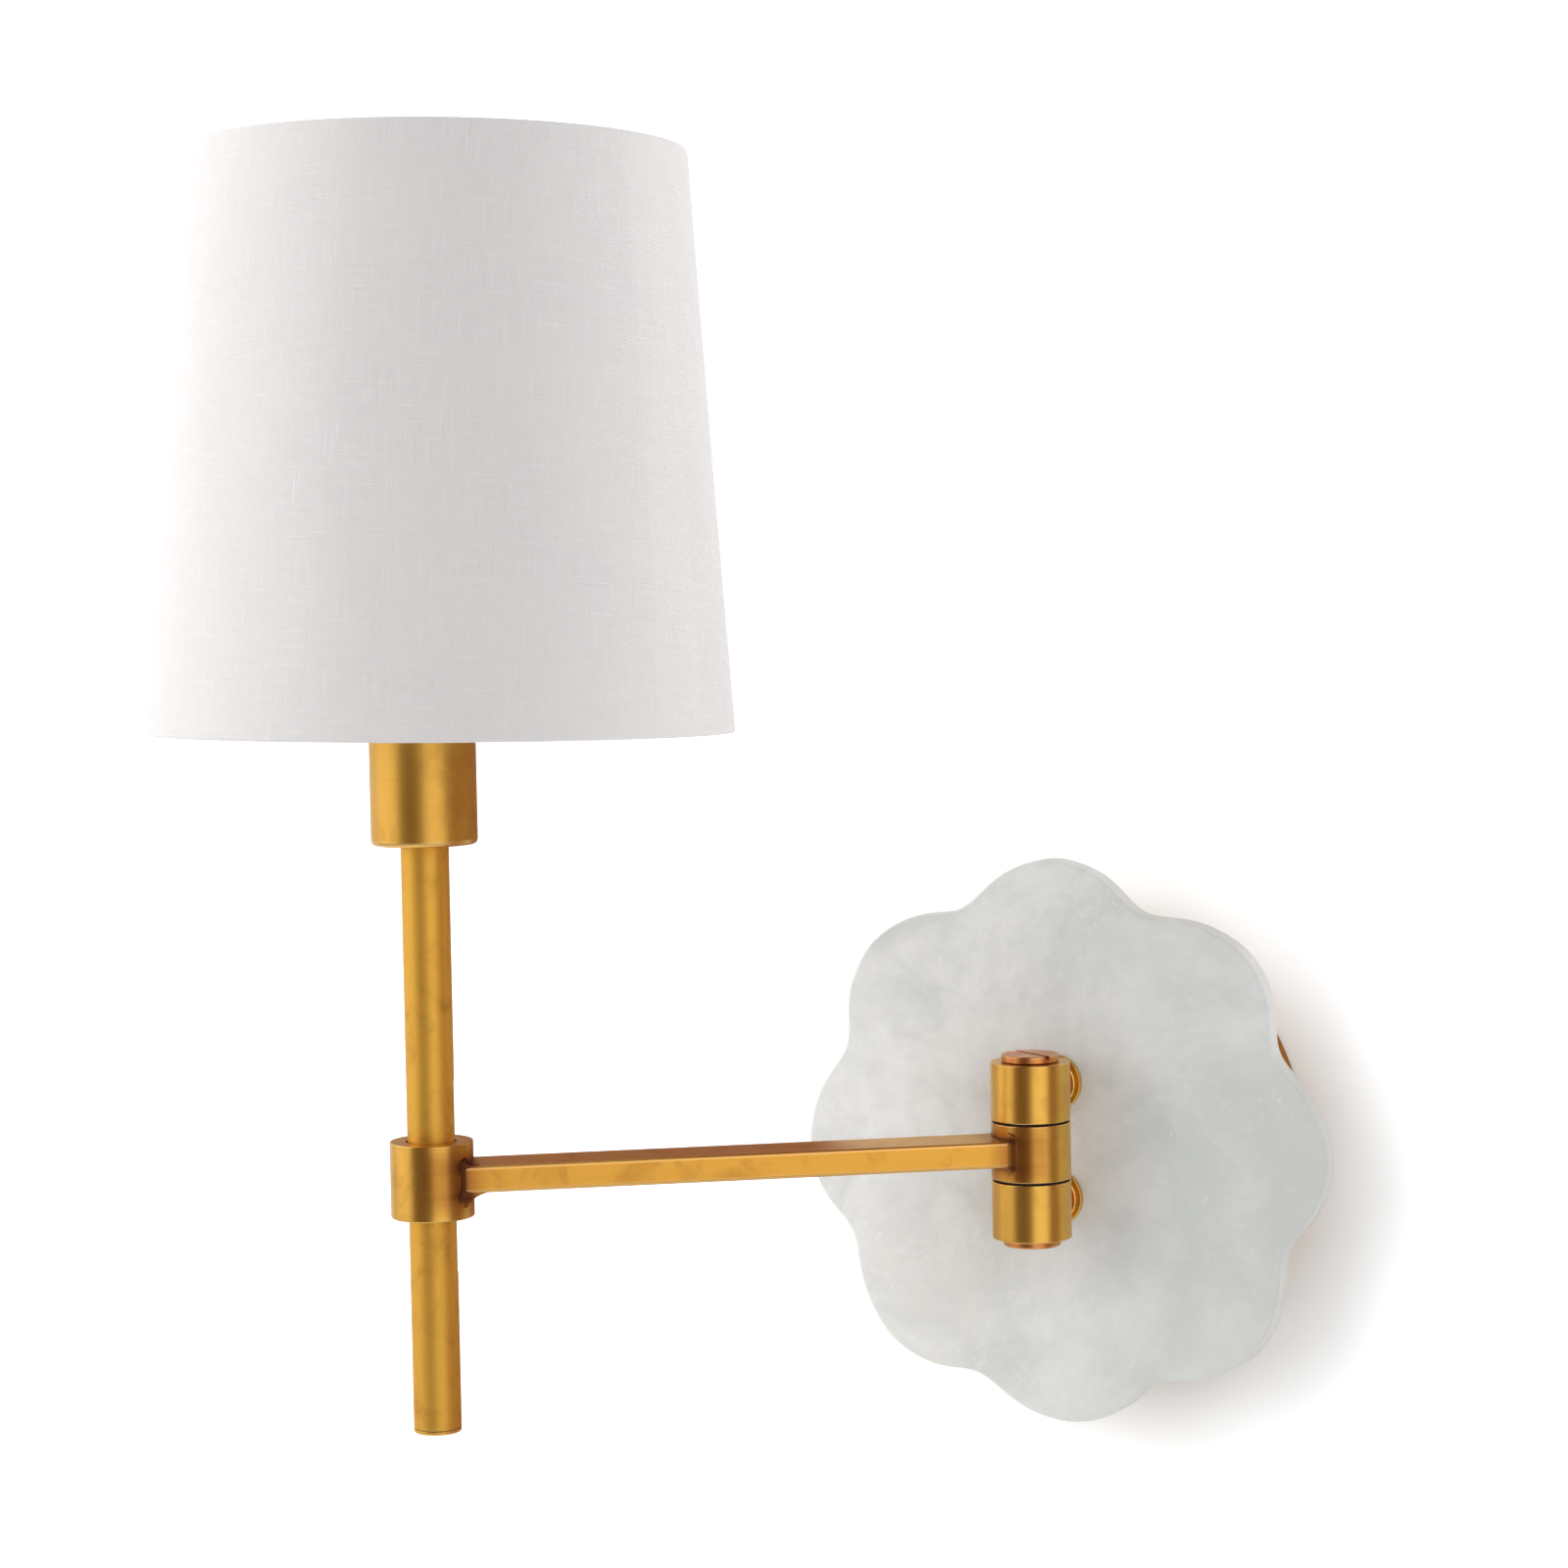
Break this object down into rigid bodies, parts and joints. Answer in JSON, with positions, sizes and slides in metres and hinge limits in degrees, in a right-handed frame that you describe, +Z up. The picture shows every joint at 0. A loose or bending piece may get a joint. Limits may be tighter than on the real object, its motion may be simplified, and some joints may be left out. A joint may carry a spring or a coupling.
{
  "type": "swing arm wall sconce",
  "caption": "Wall sconce with a scalloped stone plate, a hinged flat brass arm, a height-adjustable stem and a tapered cloth drum shade.",
  "frame": {"origin": "in the wall plane on the crossbar's back face, level with the middle of the hinge barrel, 1.9 mm above the crossbar's centre", "axes": "+Z up along the hinge axis, +Y into the wall, +X to the right seen from the room"},
  "size_m": [0.3275, 0.2482, 0.4094],
  "materials": {
    "aged_brass": "satin brushed brass with light browning",
    "coppery_brass": "darker coppery brass, satin",
    "pale_stone": "honed translucent white stone with faint grey and green clouds",
    "shade_linen": "off-white linen weave laminated to a stiff liner",
    "zinc_steel": "zinc plated steel",
    "green_screw": "green dyed zinc plate",
    "black_nylon": "black nylon",
    "black_felt": "pressed felt",
    "socket_porcelain": "glazed porcelain",
    "bulb_aluminium": "rolled aluminium screw cap",
    "opal_glass": "opal white glass",
    "white_wire": "white coated steel wire"
  },
  "bodies": {
    "wall_plate": {"wall_crossbar": "zinc_steel", "ground_screw": "green_screw", "canopy_pan": "aged_brass", "canopy_screw_right": "aged_brass", "canopy_screw_left": "aged_brass", "felt_pad": "black_felt", "stone_slab": "pale_stone", "upper_post": "coppery_brass", "upper_rosette": "aged_brass", "upper_post_washer": "zinc_steel", "upper_post_nut": "zinc_steel", "lower_post": "coppery_brass", "lower_rosette": "aged_brass", "lower_post_washer": "zinc_steel", "lower_post_nut": "zinc_steel", "knuckle_top": "aged_brass", "knuckle_bottom": "aged_brass", "thrust_washer_upper": "black_nylon", "thrust_washer_lower": "black_nylon", "hinge_pin": "zinc_steel", "cap_top_slotted": "coppery_brass", "cap_bottom": "coppery_brass"},
    "swing_arm": {"knuckle_middle": "aged_brass", "arm_bar": "aged_brass", "collar": "aged_brass"},
    "stem_bushes": {"bush_upper": "black_nylon", "bush_lower": "black_nylon"},
    "lamp_head": {"stem_tube": "aged_brass", "stem_end_plug": "aged_brass", "stem_top_bushing": "zinc_steel", "threaded_nipple": "zinc_steel", "cup_lock_nut": "zinc_steel", "socket_cup": "aged_brass", "socket_body": "socket_porcelain", "screw_shell": "coppery_brass", "centre_contact": "coppery_brass", "bulb_cap": "bulb_aluminium", "bulb_glass": "opal_glass", "fitter_clamp_ring": "socket_porcelain", "fitter_hub": "white_wire", "fitter_spoke_1": "white_wire", "fitter_spoke_2": "white_wire", "fitter_spoke_3": "white_wire", "shade_bottom_ring": "white_wire", "shade_top_ring": "white_wire", "shade_cloth": "shade_linen"}
  },
  "joints": [
    {"name": "arm_swing", "type": "hinge", "parent": "wall_plate", "child": "swing_arm", "pos_m": [0, -0.0445, 0], "axis": [0, 0, 1], "range_deg": [-22, 126]},
    {"name": "stem_turn", "type": "hinge", "parent": "swing_arm", "child": "stem_bushes", "pos_m": [-0.15019, -0.16184, 0], "axis": [0, 0, 1], "range_deg": [-90, 90]},
    {"name": "stem_height", "type": "slide", "parent": "stem_bushes", "child": "lamp_head", "axis": [0, 0, 1], "range_m": [-0.025, 0.025]}
  ]
}
